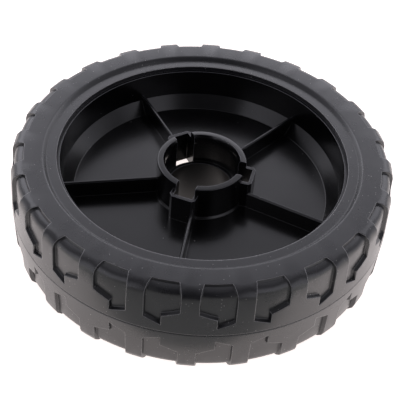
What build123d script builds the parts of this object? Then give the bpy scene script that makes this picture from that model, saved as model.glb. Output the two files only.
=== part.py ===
from build123d import *
from math import atan2, cos, degrees, radians, sin
import os

os.makedirs("parts", exist_ok=True)

# Mower wheel: a moulded rim with an empty bearing seat, and a moulded tyre on it.
# Lengths are in millimetres. Z is the axle axis and the wheel's middle plane is Z = 0.

# Direction from the axle in which a rib, a hub box and a lug between pockets line up
key_angle = 120.3

# Tyre section, from the seat on the rim outwards
seat_radius = 68.0
tyre_height = 22.0
tyre_half_width = 25.0
tread_fall = 0.95
shoulder_round = 5.2
shoulder_flats = 3
parting_depth = 0.3
parting_half_width = 0.4

# Sidewall: a raised ring, a soft step and the lower bead band
band_width = 4.7
band_drop = 1.9
step_width = 1.7
step_round = 1.0
step_flats = 1

# Tread pockets, in two rows that mirror each other, alternately left and right handed
pocket_pairs = 12
pocket_depth = 1.6
pocket_reach = 5.5
pocket_end_height = 1.1
pocket_end_draft = 0.4
pocket_floor_round = 3.6
pocket_floor_flats = 3
pocket_half_width = 8.0
pocket_flare = 0.5
pocket_wall_angle = 20.0
short_side_height = 12.4
short_step_height = 9.4
long_step_height = 4.0
long_side_height = 7.2

# Fit of the tyre on the rim
tyre_gap = 0.05

# Rim band, cone and web
lip_inset = 2.2
lip_wall = 1.3
band_foot_wall = 2.1
band_foot_height = 7.3
cone_width = 5.2
cone_wall = 3.8
web_thickness = 2.5

# Web ribs
rib_count = 5
rib_height = 8.7
rib_thickness = 1.8
rib_top_chamfer = 0.6

# Hub: bearing seat with a ledge below and a snap bead above
bearing_radius = 17.5
bearing_width = 11.1
ledge_width = 2.0
ledge_rise = 1.6
bead_height = 0.3
bead_width = 2.2
lead_in_height = 2.9
lead_in_width = 0.8
hub_wall = 3.7
hub_foot_chamfer = 0.9
hub_top_round = 0.8
hub_top_flats = 2

# Hub boss below the web
boss_wall = 3.2
boss_length = 22.7

# Boxes that bridge the three slots of the hub, one at the key angle and one to each side of it
box_spread = 131.7
slot_half_width = 4.6
box_reach = 2.6
box_wall = 1.6
box_corner = 1.4
box_drop = 3.6
ledge_bridge = 1.5
window_inset = 0.2

# Levels and radii that follow from the sizes above
tyre_radius = seat_radius + tyre_height
shoulder_radius = tyre_radius - tread_fall
pocket_end_radius = shoulder_radius - pocket_reach
pocket_end_level = tyre_half_width - pocket_end_height
tyre_bore = seat_radius + tyre_gap
band_level = tyre_half_width - band_drop
band_edge_radius = tyre_bore + band_width
sidewall_edge_radius = band_edge_radius + step_width

web_top = web_thickness / 2
web_bottom = -web_thickness / 2
lip_level = band_level - lip_inset
lip_radius = seat_radius - lip_wall
band_foot_radius = seat_radius - band_foot_wall
cone_foot_radius = band_foot_radius - cone_width
cone_slope = (band_foot_height - web_top) / cone_width
under_cone_radius = cone_foot_radius + (cone_wall - web_thickness) / cone_slope

hub_radius = bearing_radius + hub_wall
hub_bore = bearing_radius - ledge_width
boss_radius = hub_bore + boss_wall
ledge_level = web_top + ledge_rise
bead_bottom = ledge_level + bearing_width
bead_top = bead_bottom + bead_width
hub_top = bead_top + lead_in_height
boss_end = web_bottom - boss_length
rib_top = web_top + rib_height
box_top = hub_top - box_drop
slot_floor_radius = hub_bore + ledge_bridge
slot_end_radius = hub_radius + box_reach
box_end_radius = slot_end_radius + box_wall
box_half_width = slot_half_width + box_wall
hub_wall_middle = hub_radius - hub_wall / 2
box_start_radius = hub_wall_middle - box_corner
box_angles = (key_angle, key_angle + box_spread, key_angle - box_spread)
pocket_half_pitch = 90 / pocket_pairs

tread_slope = tread_fall / tyre_half_width
tread_angle = degrees(atan2(tread_fall, tyre_half_width))
step_angle = degrees(atan2(band_drop, step_width))


# Corner of a section as a round of a few flats, which keeps the many lugs light
def flat_round(centre, radius, start, end, flats):
    turn = (end - start) / flats
    angles = [radians(start + turn * i) for i in range(flats + 1)]
    return [(centre[0] + radius * cos(a), centre[1] + radius * sin(a)) for a in angles]


# Rim band, cone, web, hub and boss as one turned section
hub_top_centre = (hub_radius - hub_top_round, hub_top - hub_top_round)
with BuildPart() as rim:
    with BuildSketch(Plane.XZ):
        with BuildLine():
            Polyline(
                (seat_radius, lip_level),
                (lip_radius, lip_level),
                (band_foot_radius, band_foot_height),
                (cone_foot_radius, web_top),
                (hub_radius + hub_foot_chamfer, web_top),
                (hub_radius, web_top + hub_foot_chamfer),
                *flat_round(hub_top_centre, hub_top_round, 0, 90, hub_top_flats),
                (bearing_radius + lead_in_width, hub_top),
                (bearing_radius, bead_top + lead_in_height / 2),
                (bearing_radius, bead_top),
                (bearing_radius - bead_height, bead_top - bead_width / 2),
                (bearing_radius, bead_bottom),
                (bearing_radius, ledge_level),
                (hub_bore, ledge_level),
                (hub_bore, boss_end),
                (boss_radius, boss_end),
                (boss_radius, web_bottom),
                (under_cone_radius, web_bottom),
                (band_foot_radius, band_foot_height - cone_wall),
                (lip_radius, -lip_level),
                (seat_radius, -lip_level),
                close=True,
            )
        make_face()
    revolve(axis=Axis.Z)

    # Web ribs: upright plates from the hub to the band, their lower edge inside the web and the cone
    with BuildSketch(Plane.XZ):
        with BuildLine():
            Polyline(
                (hub_wall_middle, 0),
                (cone_foot_radius, 0),
                (seat_radius - band_foot_wall / 2, band_foot_height - cone_wall / 2),
                (seat_radius - lip_wall / 2, rib_top),
                (hub_wall_middle, rib_top),
                close=True,
            )
        make_face()
    rib = extrude(amount=rib_thickness / 2, both=True, mode=Mode.PRIVATE)
    rib_top_edges = rib.faces().sort_by(Axis.Z)[-1].edges().filter_by(Axis.X)
    rib = rib.chamfer(rib_top_chamfer, None, rib_top_edges)
    with PolarLocations(0, rib_count, start_angle=key_angle):
        add(rib)

    # Boxes on the outside of the hub
    for angle in box_angles:
        with BuildSketch(Plane.XY):
            with PolarLocations((box_start_radius + box_end_radius) / 2, 1, start_angle=angle):
                outline = Rectangle(box_end_radius - box_start_radius, 2 * box_half_width)
            chamfer(outline.vertices(), box_corner)
        extrude(amount=box_top)

    # Slots through the hub wall into the boxes; a narrower ledge bridges each slot
    for angle in box_angles:
        with BuildSketch(Plane.XY.offset(ledge_level)):
            with PolarLocations(slot_end_radius / 2, 1, start_angle=angle):
                Rectangle(slot_end_radius, 2 * slot_half_width)
        extrude(amount=hub_top - ledge_level + web_thickness, mode=Mode.SUBTRACT)
        with BuildSketch(Plane.XY.offset(web_top)):
            with PolarLocations(slot_end_radius / 2, 1, start_angle=angle):
                Rectangle(slot_end_radius, 2 * slot_half_width)
            Circle(slot_floor_radius, mode=Mode.SUBTRACT)
        extrude(amount=ledge_rise, mode=Mode.SUBTRACT)
        # Window through the web below the box, clear of the boss
        with BuildSketch(Plane.XY.offset(web_bottom)):
            with PolarLocations(slot_end_radius / 2, 1, start_angle=angle):
                Rectangle(slot_end_radius, 2 * slot_half_width)
            Circle(boss_radius + window_inset, mode=Mode.SUBTRACT)
        extrude(amount=web_thickness, mode=Mode.SUBTRACT)

# Body of the tyre below the pocket floors, used to end each pocket at its floor
floor_round_level = pocket_end_level - pocket_floor_round
floor_round_radius = tyre_radius - pocket_depth - tread_slope * floor_round_level - pocket_floor_round
with BuildPart() as carcass:
    with BuildSketch(Plane.XZ):
        with BuildLine():
            Polyline(
                (tyre_radius - pocket_depth, 0),
                *flat_round(
                    (floor_round_radius, floor_round_level),
                    pocket_floor_round,
                    tread_angle,
                    90,
                    pocket_floor_flats,
                ),
                (pocket_end_radius, pocket_end_level),
                (pocket_end_radius - pocket_end_draft, tyre_half_width),
                (pocket_end_radius - pocket_end_draft, tyre_half_width + pocket_depth),
                (seat_radius, tyre_half_width + pocket_depth),
                (seat_radius, 0),
            )
            mirror(about=Plane.XZ)
        make_face()
    revolve(axis=Axis.Z)

# One left-handed pocket of each row: a short half and a long half with a step between them
with BuildPart() as pocket:
    with BuildSketch(Plane.YZ.offset(tyre_radius)):
        with BuildLine():
            Polyline(
                (-pocket_half_width, short_side_height),
                (0, short_step_height),
                (0, long_step_height),
                (pocket_half_width, long_side_height),
                (pocket_half_width + pocket_flare, tyre_half_width + pocket_depth + pocket_reach),
                (-pocket_half_width - pocket_flare, tyre_half_width + pocket_depth + pocket_reach),
                close=True,
            )
        make_face()
        mirror(about=Plane.XZ)
    extrude(amount=-(tread_fall + pocket_reach + pocket_depth), taper=pocket_wall_angle)
    add(carcass.part, mode=Mode.SUBTRACT)

# Tyre: the turned section with its parting line, less the pockets
shoulder_level = tyre_half_width - shoulder_round
shoulder_centre = tyre_radius - tread_slope * shoulder_level - shoulder_round
step_reach = step_round * sin(radians(step_angle)) / (1 + cos(radians(step_angle)))
with BuildPart() as tyre:
    with BuildSketch(Plane.XZ):
        with BuildLine():
            Polyline(
                (tyre_radius - parting_depth, 0),
                (tyre_radius, parting_half_width),
                *flat_round(
                    (shoulder_centre, shoulder_level),
                    shoulder_round,
                    tread_angle,
                    90,
                    shoulder_flats,
                ),
                *flat_round(
                    (sidewall_edge_radius + step_reach, tyre_half_width - step_round),
                    step_round,
                    90,
                    90 + step_angle,
                    step_flats,
                ),
                (band_edge_radius, band_level),
                (tyre_bore, band_level),
                (tyre_bore, 0),
            )
            mirror(about=Plane.XZ)
        make_face()
    revolve(axis=Axis.Z)
    with PolarLocations(0, pocket_pairs, start_angle=key_angle + pocket_half_pitch):
        add(pocket.part, mode=Mode.SUBTRACT)
    with PolarLocations(0, pocket_pairs, start_angle=key_angle - pocket_half_pitch):
        add(mirror(pocket.part, about=Plane.XZ, mode=Mode.PRIVATE), mode=Mode.SUBTRACT)

rim.part.label = "rim"
tyre.part.label = "tyre"
export_step(rim.part, "parts/rim.step")
export_step(tyre.part, "parts/tyre.step")
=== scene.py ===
import bpy
import math
from mathutils import Matrix, Vector


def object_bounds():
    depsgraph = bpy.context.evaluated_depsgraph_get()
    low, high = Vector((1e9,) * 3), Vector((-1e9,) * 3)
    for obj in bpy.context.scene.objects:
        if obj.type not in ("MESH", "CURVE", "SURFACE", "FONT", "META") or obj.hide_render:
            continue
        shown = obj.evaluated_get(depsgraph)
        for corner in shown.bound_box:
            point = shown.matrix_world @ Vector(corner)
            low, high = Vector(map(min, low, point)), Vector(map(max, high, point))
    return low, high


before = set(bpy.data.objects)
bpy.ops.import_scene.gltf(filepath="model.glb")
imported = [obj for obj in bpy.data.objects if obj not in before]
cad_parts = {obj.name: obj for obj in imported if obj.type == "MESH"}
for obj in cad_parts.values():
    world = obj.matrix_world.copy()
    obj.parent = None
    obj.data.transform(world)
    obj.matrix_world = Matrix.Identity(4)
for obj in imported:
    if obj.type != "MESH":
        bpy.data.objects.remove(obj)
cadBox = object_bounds()
print("wheel frame loaded, nodes:", sorted(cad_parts))

mm = 0.001  # m


def linear(hexCode):  # sRGB hex to the linear colour that the shaders take
    shares = [int(hexCode[i:i + 2], 16) / 255 for i in (1, 3, 5)]
    return [c / 12.92 if c <= 0.04045 else ((c + 0.055) / 1.055) ** 2.4 for c in shares] + [1.0]


def addNode(tree, kind, settings=None, values=None, links=None):
    node = tree.nodes.new(kind)
    for name, setting in (settings or {}).items():
        setattr(node, name, setting)
    for socket, value in (values or {}).items():
        node.inputs[socket].default_value = value
    for socket, (source, output) in (links or {}).items():
        tree.links.new(source.outputs[output], node.inputs[socket])
    return node


def newMaterial(name):
    material = bpy.data.materials.new(name)
    material.use_nodes = True
    material.node_tree.nodes.clear()
    return material, material.node_tree


# Tyre: thermoplastic rubber, injection moulded in a satin tool.
# It gives the eye a soft dark grey with a broad sheen, faint cloudy patches and a few specks of dust.
tyreLook = {
    "colour": "#19191c",
    "cloudColour": "#1f1f21",
    "dustColour": "#b4b1ad",
    "roughness": 0.28,
    "roughnessSpread": 0.10,
    "ior": 1.65,
    "cloudSize": 14,         # mm across one cloudy patch
    "grainSize": 0.9,        # mm; the tool's grain is finer, drawn coarser so that it shows
    "grainDepth": 0.012,     # mm
    "dustSpacing": 1.2,      # mm between places where a speck may lie
    "dustRadius": 0.18,      # mm
    "dustShare": 0.86,       # of those places stay clean
    "waveSize": 40,          # mm across the slow waves of the surface
    "waveDepth": 0.05,       # mm
    "edgeRound": 0.7,        # mm on the moulded edges
    "edgeHighlightColour": "#aaa8a8",  # painted highlight along the outer edges
    "edgeHighlightReach": 0.30,        # mm from the edge
    "softAngle": 34,         # degrees, the sharpest bend that is shaded as one soft curve
}

# Rim: black polypropylene, injection moulded in a polished tool.
# It gives the eye a deep black with soft reflections and faint flow marks.
rimLook = {
    "colour": "#050506",
    "cloudColour": "#09090a",
    "dustColour": "#b5b3b1",
    "roughness": 0.22,
    "roughnessSpread": 0.10,
    "ior": 1.56,
    "cloudSize": 22,
    "grainSize": 1.4,
    "grainDepth": 0.010,
    "dustSpacing": 2.4,
    "dustRadius": 0.16,
    "dustShare": 0.86,
    "waveSize": 24,
    "waveDepth": 0.16,
    "edgeRound": 0.45,
    # painted highlight along the rim's outer edges
    "edgeHighlightColour": "#76767c",
    "edgeHighlightReach": 0.25,
    "softAngle": 34,
    "boreRadius": 16.6,      # mm, the cored hub inside this is duller
    "boreRoughness": 0.30,
}

# What the two mouldings share
mouldingLook = {
    "cloudDetail": 3.0,
    "cloudRoughness": 0.55,
    "grainDetail": 2.0,
    "waveDetail": 1.0,
    "edgeSamples": 6,         # rays that look for a near edge
    "edgeHighlightShares": (0.95, 0.45),  # of those rays stay inside, where the painted edge highlight starts and where it is full
    "boreFade": 0.2,          # mm inside the bore's radius over which it turns dull
}


def mouldedPlastic(name, look):
    material, tree = newMaterial(name)
    place = addNode(tree, "ShaderNodeTexCoord")
    clouds = addNode(tree, "ShaderNodeTexNoise",
                     values={"Scale": 1 / (look["cloudSize"] * mm), "Detail": mouldingLook["cloudDetail"],
                             "Roughness": mouldingLook["cloudRoughness"]},
                     links={"Vector": (place, "Object")})
    body = addNode(tree, "ShaderNodeMix", {"data_type": "RGBA"},
                   {"A": linear(look["colour"]), "B": linear(look["cloudColour"])},
                   {"Factor": (clouds, "Fac")})
    # dust: a speck in some of the cells, each of its own strength
    cells = addNode(tree, "ShaderNodeTexVoronoi", values={"Scale": 1 / (look["dustSpacing"] * mm)},
                    links={"Vector": (place, "Object")})
    near = addNode(tree, "ShaderNodeMath", {"operation": "LESS_THAN"},
                   {1: look["dustRadius"] / look["dustSpacing"]}, {0: (cells, "Distance")})
    pick = addNode(tree, "ShaderNodeSeparateColor", links={"Color": (cells, "Color")})
    chosen = addNode(tree, "ShaderNodeMath", {"operation": "GREATER_THAN"}, {1: look["dustShare"]},
                     {0: (pick, "Red")})
    speck = addNode(tree, "ShaderNodeMath", {"operation": "MULTIPLY"},
                    links={0: (near, 0), 1: (chosen, 0)})
    faint = addNode(tree, "ShaderNodeMath", {"operation": "MULTIPLY"},
                    links={0: (speck, 0), 1: (pick, "Green")})
    # painted edge highlight: rays sent into the plastic leave it soon where an outer edge is near, and there
    # the colour is lightened
    inside = addNode(tree, "ShaderNodeAmbientOcclusion",
                     {"inside": True, "only_local": True, "samples": mouldingLook["edgeSamples"]},
                     {"Distance": look["edgeHighlightReach"] * mm})
    edgeHighlightMask = addNode(tree, "ShaderNodeMapRange",
                  values={"From Min": mouldingLook["edgeHighlightShares"][0], "From Max": mouldingLook["edgeHighlightShares"][1]},
                  links={"Value": (inside, "AO")})
    edgeHighlighted = addNode(tree, "ShaderNodeMix", {"data_type": "RGBA"}, {"B": linear(look["edgeHighlightColour"])},
                     {"Factor": (edgeHighlightMask, "Result"), "A": (body, "Result")})
    colour = addNode(tree, "ShaderNodeMix", {"data_type": "RGBA"}, {"B": linear(look["dustColour"])},
                     {"Factor": (faint, 0), "A": (edgeHighlighted, "Result")})
    # the sheen varies a little with the clouds
    sheen = addNode(tree, "ShaderNodeMapRange",
                    values={"To Min": look["roughness"] - look["roughnessSpread"] / 2,
                            "To Max": look["roughness"] + look["roughnessSpread"] / 2},
                    links={"Value": (clouds, "Fac")})
    if "boreRadius" in look:
        flat = addNode(tree, "ShaderNodeVectorMath", {"operation": "MULTIPLY"}, {1: (1, 1, 0)},
                       {0: (place, "Object")})
        reach = addNode(tree, "ShaderNodeVectorMath", {"operation": "LENGTH"}, links={0: (flat, "Vector")})
        sheen = addNode(tree, "ShaderNodeMapRange",
                        values={"From Min": (look["boreRadius"] - mouldingLook["boreFade"]) * mm,
                                "From Max": look["boreRadius"] * mm, "To Min": look["boreRoughness"]},
                        links={"Value": (reach, "Value"), "To Max": (sheen, "Result")})
    grain = addNode(tree, "ShaderNodeTexNoise",
                    values={"Scale": 1 / (look["grainSize"] * mm), "Detail": mouldingLook["grainDetail"]},
                    links={"Vector": (place, "Object")})
    waves = addNode(tree, "ShaderNodeTexNoise",
                    values={"Scale": 1 / (look["waveSize"] * mm), "Detail": mouldingLook["waveDetail"]},
                    links={"Vector": (place, "Object")})
    edges = addNode(tree, "ShaderNodeBevel", {"samples": mouldingLook["edgeSamples"]},
                    {"Radius": look["edgeRound"] * mm})
    sink = addNode(tree, "ShaderNodeBump", values={"Strength": 1.0, "Distance": look["waveDepth"] * mm},
                   links={"Height": (waves, "Fac"), "Normal": (edges, "Normal")})
    bump = addNode(tree, "ShaderNodeBump", values={"Strength": 1.0, "Distance": look["grainDepth"] * mm},
                   links={"Height": (grain, "Fac"), "Normal": (sink, "Normal")})
    shader = addNode(tree, "ShaderNodeBsdfPrincipled", values={"IOR": look["ior"]},
                     links={"Base Color": (colour, "Result"), "Roughness": (sheen, "Result"),
                            "Normal": (bump, "Normal")})
    addNode(tree, "ShaderNodeOutputMaterial", links={"Surface": (shader, "BSDF")})
    return material


# The rounds in the frame are made of a few flats: shade them as one soft curve, and keep the real edges sharp
roundsSetup = {
    "joinWithin": 0.002,  # mm, corners as near as this are one corner
    "flatLead": 60,       # above 50 the large flat faces lead the shading
}


def softRounds(part, softAngle):
    tree = bpy.data.node_groups.new(part.name + "SoftRounds", "GeometryNodeTree")
    tree.interface.new_socket("Mesh", in_out="INPUT", socket_type="NodeSocketGeometry")
    tree.interface.new_socket("Mesh", in_out="OUTPUT", socket_type="NodeSocketGeometry")
    given = addNode(tree, "NodeGroupInput")
    plain = addNode(tree, "GeometryNodeRemoveAttribute", values={"Name": "custom_normal"},
                    links={"Geometry": (given, "Mesh")})
    joined = addNode(tree, "GeometryNodeMergeByDistance", values={"Distance": roundsSetup["joinWithin"] * mm},
                     links={"Geometry": (plain, "Geometry")})
    soft = addNode(tree, "GeometryNodeSetShadeSmooth", {"domain": "FACE"},
                   links={"Geometry": (joined, "Geometry")})
    bend = addNode(tree, "GeometryNodeInputMeshEdgeAngle")
    slight = addNode(tree, "FunctionNodeCompare", {"data_type": "FLOAT", "operation": "LESS_THAN"},
                     {"B": math.radians(softAngle)}, {"A": (bend, "Unsigned Angle")})
    edged = addNode(tree, "GeometryNodeSetShadeSmooth", {"domain": "EDGE"},
                    links={"Geometry": (soft, "Geometry"), "Shade Smooth": (slight, "Result")})
    addNode(tree, "NodeGroupOutput", links={"Mesh": (edged, "Geometry")})
    part.modifiers.new("softRounds", "NODES").node_group = tree
    weights = part.modifiers.new("flatFacesLead", "WEIGHTED_NORMAL")
    weights.keep_sharp = True
    weights.weight = roundsSetup["flatLead"]


for nodeName, material, look in (("tyre", mouldedPlastic("satinThermoplasticRubber", tyreLook), tyreLook),
                                 ("rim", mouldedPlastic("blackMouldedPolypropylene", rimLook), rimLook)):
    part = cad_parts[nodeName]
    part.data.materials.clear()
    part.data.materials.append(material)
    softRounds(part, look["softAngle"])
    print("material on", nodeName, ":", material.name, len(part.data.polygons), "faces")


# Table: milky acrylic, lit from below. It gives the eye a white floor up to the wheel, with a faint shadow,
# and a painted shadow in its glow under the hub's bore.
floorLook = {
    "size": 6.0,                    # m
    "gap": 0.05,                    # mm below the tyre, so that the two faces don't flicker
    "colour": "#f0ece8",
    "glowColour": "#fff5f2",
    "glow": 1.0,
    "hubPaintedShadowGlow": (0.0, 1.0),          # painted shadow: the glow under the hub's bore, where the wheel covers the table, from darkest to full
    "hubPaintedShadowSlope": (-0.64, 0.77, 0.0),  # direction in which that painted shadow lightens, from front right to back left
    "hubPaintedShadowStart": 7,                   # mm in front of the axle, where the painted shadow starts to lighten
    "hubPaintedShadowReach": (16, 19),           # mm from the axle over which the glow comes out of the painted shadow to its full strength
}


def acrylicTable(look):
    material, tree = newMaterial("milkyAcrylicTable")
    place = addNode(tree, "ShaderNodeTexCoord")
    # painted shadow: the glow is lowered under the hub's bore, darkest at its front right
    flat = addNode(tree, "ShaderNodeVectorMath", {"operation": "MULTIPLY"}, {1: (1, 1, 0)},
                   {0: (place, "Object")})
    reach = addNode(tree, "ShaderNodeVectorMath", {"operation": "LENGTH"}, links={0: (flat, "Vector")})
    slope = addNode(tree, "ShaderNodeVectorMath", {"operation": "DOT_PRODUCT"}, {1: look["hubPaintedShadowSlope"]},
                    {0: (place, "Object")})
    paintedHubShadow = addNode(tree, "ShaderNodeMapRange",
                  values={"From Min": -look["hubPaintedShadowStart"] * mm, "From Max": look["hubPaintedShadowReach"][0] * mm,
                          "To Min": look["hubPaintedShadowGlow"][0], "To Max": look["hubPaintedShadowGlow"][1]},
                  links={"Value": (slope, "Value")})
    glowPastPaintedShadow = addNode(tree, "ShaderNodeMapRange",
                    values={"From Min": look["hubPaintedShadowReach"][0] * mm, "From Max": look["hubPaintedShadowReach"][1] * mm,
                            "To Max": look["glow"]},
                    links={"Value": (reach, "Value"), "To Min": (paintedHubShadow, "Result")})
    glow = addNode(tree, "ShaderNodeEmission", values={"Color": linear(look["glowColour"])},
                   links={"Strength": (glowPastPaintedShadow, "Result")})
    sheet = addNode(tree, "ShaderNodeBsdfDiffuse", values={"Color": linear(look["colour"])})
    both = addNode(tree, "ShaderNodeAddShader", links={0: (glow, 0), 1: (sheet, 0)})
    # open from below, so that the wheel's underside can be looked at
    sideSeen = addNode(tree, "ShaderNodeNewGeometry")
    clear = addNode(tree, "ShaderNodeBsdfTransparent")
    oneWay = addNode(tree, "ShaderNodeMixShader",
                     links={0: (sideSeen, "Backfacing"), 1: (both, 0), 2: (clear, 0)})
    addNode(tree, "ShaderNodeOutputMaterial", links={"Surface": (oneWay, 0)})
    return material


half = floorLook["size"] / 2
lowest = cadBox[0].z - floorLook["gap"] * mm
corners = [(x * half, y * half, lowest) for x, y in ((-1, -1), (1, -1), (1, 1), (-1, 1))]
floorMesh = bpy.data.meshes.new("paleFloor")
floorMesh.from_pydata(corners, [], [(0, 1, 2, 3)])
floorMesh.materials.append(acrylicTable(floorLook))
floor = bpy.data.objects.new("paleFloor", floorMesh)
bpy.context.scene.collection.objects.link(floor)
print("floor at", round(lowest, 4))

# Light: a white room
roomLook = {"colour": "#f7f6ff", "strength": 1.0}
world = bpy.data.worlds.new("whiteRoom")
world.use_nodes = True
world.node_tree.nodes.clear()
room = addNode(world.node_tree, "ShaderNodeBackground",
               values={"Color": linear(roomLook["colour"]), "Strength": roomLook["strength"]})
addNode(world.node_tree, "ShaderNodeOutputWorld", links={"Surface": (room, 0)})
bpy.context.scene.world = world

# The dark end of the room: a wall of dark cloth behind the camera that curves into a ceiling, lighter towards
# the back, with light cards low at its two sides. The shoulder, the pocket walls and the rim's cone show it;
# the camera itself doesn't.
darkLook = {
    "colour": "#0b0b0c",
    "glowColour": "#f5f4ff",
    "radius": 1.5,              # m around the wheel
    "sides": (-4.0, 4.0),       # m along x
    "steps": 28,                # flats in the curve
    "endAngle": 141,            # degrees from the front horizon, over the top
    "darkUntil": 20,            # degrees
    "endGlow": 0.88,
    "fadePower": 1.7,
    "cardGlow": 1.0,
    "cardReach": (0.55, 0.78),  # m to each side over which a card's light grows
    "cardAngles": (88, 42),     # degrees over which it grows downwards
}

# The table's front, in the shade of that end: the lugs that face the camera show it
frontLook = {
    "colour": "#4a4846",
    "from": -0.099,             # m along y
    "to": -0.55,                # m along y, where the shade is deepest
    "sides": (-1.4, 1.4),       # m along x
    "rise": 0.002,              # m above the table
    "glow": 0.45,
    "farGlow": 0.08,
    "sideGlow": 1.0,
    "sideAngles": (24, 52),     # degrees from the front over which the shade ends at both sides
}


def stageSheet(name, profile, sides, material):
    rows = [(x, y, lowest + rise) for y, rise in profile for x in sides]
    mesh = bpy.data.meshes.new(name)
    mesh.from_pydata(rows, [], [(2 * i, 2 * i + 1, 2 * i + 3, 2 * i + 2) for i in range(len(profile) - 1)])
    mesh.materials.append(material)
    sheet = bpy.data.objects.new(name, mesh)
    bpy.context.scene.collection.objects.link(sheet)
    sheet.visible_camera = False


def darkCloth(look):
    material, tree = newMaterial("darkRoomCloth")
    place = addNode(tree, "ShaderNodeTexCoord")
    along = addNode(tree, "ShaderNodeSeparateXYZ", links={"Vector": (place, "Object")})
    forward = addNode(tree, "ShaderNodeMath", {"operation": "MULTIPLY"}, {1: -1.0}, {0: (along, "Y")})
    angle = addNode(tree, "ShaderNodeMath", {"operation": "ARCTAN2"},
                    links={0: (along, "Z"), 1: (forward, 0)})
    # lighter over the top towards the back
    fade = addNode(tree, "ShaderNodeMapRange",
                   values={"From Min": math.radians(look["darkUntil"]),
                           "From Max": math.radians(look["endAngle"])},
                   links={"Value": (angle, 0)})
    curve = addNode(tree, "ShaderNodeMath", {"operation": "POWER"}, {1: look["fadePower"]},
                    {0: (fade, "Result")})
    level = addNode(tree, "ShaderNodeMath", {"operation": "MULTIPLY"}, {1: look["endGlow"]}, {0: (curve, 0)})
    # the light cards
    aside = addNode(tree, "ShaderNodeMath", {"operation": "ABSOLUTE"}, links={0: (along, "X")})
    card = addNode(tree, "ShaderNodeMapRange",
                   values={"From Min": look["cardReach"][0], "From Max": look["cardReach"][1],
                           "To Max": look["cardGlow"]},
                   links={"Value": (aside, 0)})
    lowPart = addNode(tree, "ShaderNodeMapRange",
                      values={"From Min": math.radians(look["cardAngles"][0]),
                              "From Max": math.radians(look["cardAngles"][1])},
                      links={"Value": (angle, 0)})
    lowCard = addNode(tree, "ShaderNodeMath", {"operation": "MULTIPLY"},
                      links={0: (card, 0), 1: (lowPart, 0)})
    lit = addNode(tree, "ShaderNodeMath", {"operation": "MAXIMUM"}, links={0: (level, 0), 1: (lowCard, 0)})
    glow = addNode(tree, "ShaderNodeEmission", values={"Color": linear(look["glowColour"])},
                   links={"Strength": (lit, 0)})
    cloth = addNode(tree, "ShaderNodeBsdfDiffuse", values={"Color": linear(look["colour"])})
    both = addNode(tree, "ShaderNodeAddShader", links={0: (glow, 0), 1: (cloth, 0)})
    addNode(tree, "ShaderNodeOutputMaterial", links={"Surface": (both, 0)})
    return material


def shadedFront(look):
    material, tree = newMaterial("tableFrontInShade")
    place = addNode(tree, "ShaderNodeTexCoord")
    toFront = addNode(tree, "ShaderNodeVectorMath", {"operation": "MULTIPLY"}, {1: (-1, -1, 0)},
                      {0: (place, "Object")})
    facing = addNode(tree, "ShaderNodeSeparateXYZ", links={"Vector": (toFront, "Vector")})
    fade = addNode(tree, "ShaderNodeMapRange",
                   values={"From Min": -look["from"], "From Max": -look["to"],
                           "To Min": look["glow"], "To Max": look["farGlow"]},
                   links={"Value": (facing, "Y")})
    # no shade to the left and right of the front
    angle = addNode(tree, "ShaderNodeMath", {"operation": "ARCTAN2"},
                    links={0: (facing, "X"), 1: (facing, "Y")})
    aside = addNode(tree, "ShaderNodeMath", {"operation": "ABSOLUTE"}, links={0: (angle, 0)})
    side = addNode(tree, "ShaderNodeMapRange",
                   values={"From Min": math.radians(look["sideAngles"][0]),
                           "From Max": math.radians(look["sideAngles"][1]), "To Max": look["sideGlow"]},
                   links={"Value": (aside, 0)})
    lit = addNode(tree, "ShaderNodeMath", {"operation": "MAXIMUM"}, links={0: (fade, 0), 1: (side, 0)})
    glow = addNode(tree, "ShaderNodeEmission", links={"Strength": (lit, 0)})
    cloth = addNode(tree, "ShaderNodeBsdfDiffuse", values={"Color": linear(look["colour"])})
    both = addNode(tree, "ShaderNodeAddShader", links={0: (glow, 0), 1: (cloth, 0)})
    addNode(tree, "ShaderNodeOutputMaterial", links={"Surface": (both, 0)})
    return material


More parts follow.
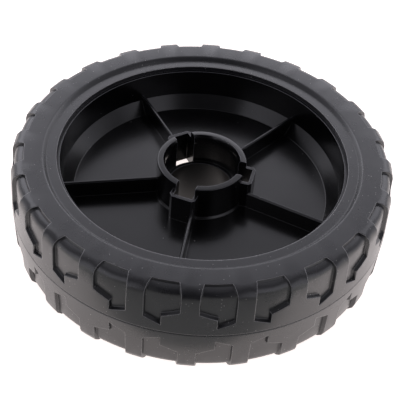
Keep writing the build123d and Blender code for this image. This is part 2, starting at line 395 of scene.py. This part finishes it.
turns = [math.radians(darkLook["endAngle"] * i / darkLook["steps"]) for i in range(darkLook["steps"] + 1)]
arch = [(-darkLook["radius"] * math.cos(a), darkLook["radius"] * math.sin(a)) for a in turns]
stageSheet("darkRoomEnd", arch, darkLook["sides"], darkCloth(darkLook))
tableFront = [(y, frontLook["rise"]) for y in (frontLook["from"], -darkLook["radius"])]
stageSheet("tableFront", tableFront, frontLook["sides"], shadedFront(frontLook))

# Three soft boxes behind the wheel, each turned to it: place and size in m, power in W
softBoxes = {
    "leftBox": {"place": (-0.75, 0.95, 0.9), "size": (0.9, 0.9), "power": 4.0, "colour": "#f6f5ff"},
    "backBox": {"place": (0.04, 1.3, 0.6), "size": (0.8, 0.6), "power": 1.87, "colour": "#f6f5ff"},
    "rightBox": {"place": (0.85, 0.95, 0.85), "size": (0.8, 0.8), "power": 2.1, "colour": "#f6f5ff"},
}
for boxName, box in softBoxes.items():
    lamp = bpy.data.lights.new(boxName, "AREA")
    lamp.shape = "RECTANGLE"
    lamp.size, lamp.size_y = box["size"]
    lamp.energy = box["power"]
    lamp.color = linear(box["colour"])[:3]
    holder = bpy.data.objects.new(boxName, lamp)
    bpy.context.scene.collection.objects.link(holder)
    holder.location = box["place"]
    holder.rotation_euler = (-Vector(box["place"])).to_track_quat("-Z", "Y").to_euler()
print("dark end and soft boxes set")

# Camera at the photograph's place: its axes and lens come from fitting the wheel's circles
cameraSetup = {
    "place": (0.001566, -0.354976, 0.331079),  # m
    "right": (0.995950, 0.081160, 0.038674),
    "up": (-0.083526, 0.676176, 0.731990),
    "back": (0.033258, -0.732256, 0.680217),
    "lens": 90.23,                             # mm
    "sensor": 36,                              # mm
    "shift": (0.0755, -0.0385),
    "clip": (0.01, 50),                        # m
}
cameraData = bpy.data.cameras.new("photoCamera")
cameraData.sensor_width = cameraSetup["sensor"]
cameraData.lens = cameraSetup["lens"]
cameraData.shift_x, cameraData.shift_y = cameraSetup["shift"]
cameraData.clip_start, cameraData.clip_end = cameraSetup["clip"]
camera = bpy.data.objects.new("photoCamera", cameraData)
bpy.context.scene.collection.objects.link(camera)
axes = Matrix([cameraSetup["right"], cameraSetup["up"], cameraSetup["back"]]).transposed()
camera.matrix_world = Matrix.Translation(Vector(cameraSetup["place"])) @ axes.to_4x4()
bpy.context.scene.camera = camera
bpy.context.scene.view_settings.view_transform = "Standard"
print("camera and view set")
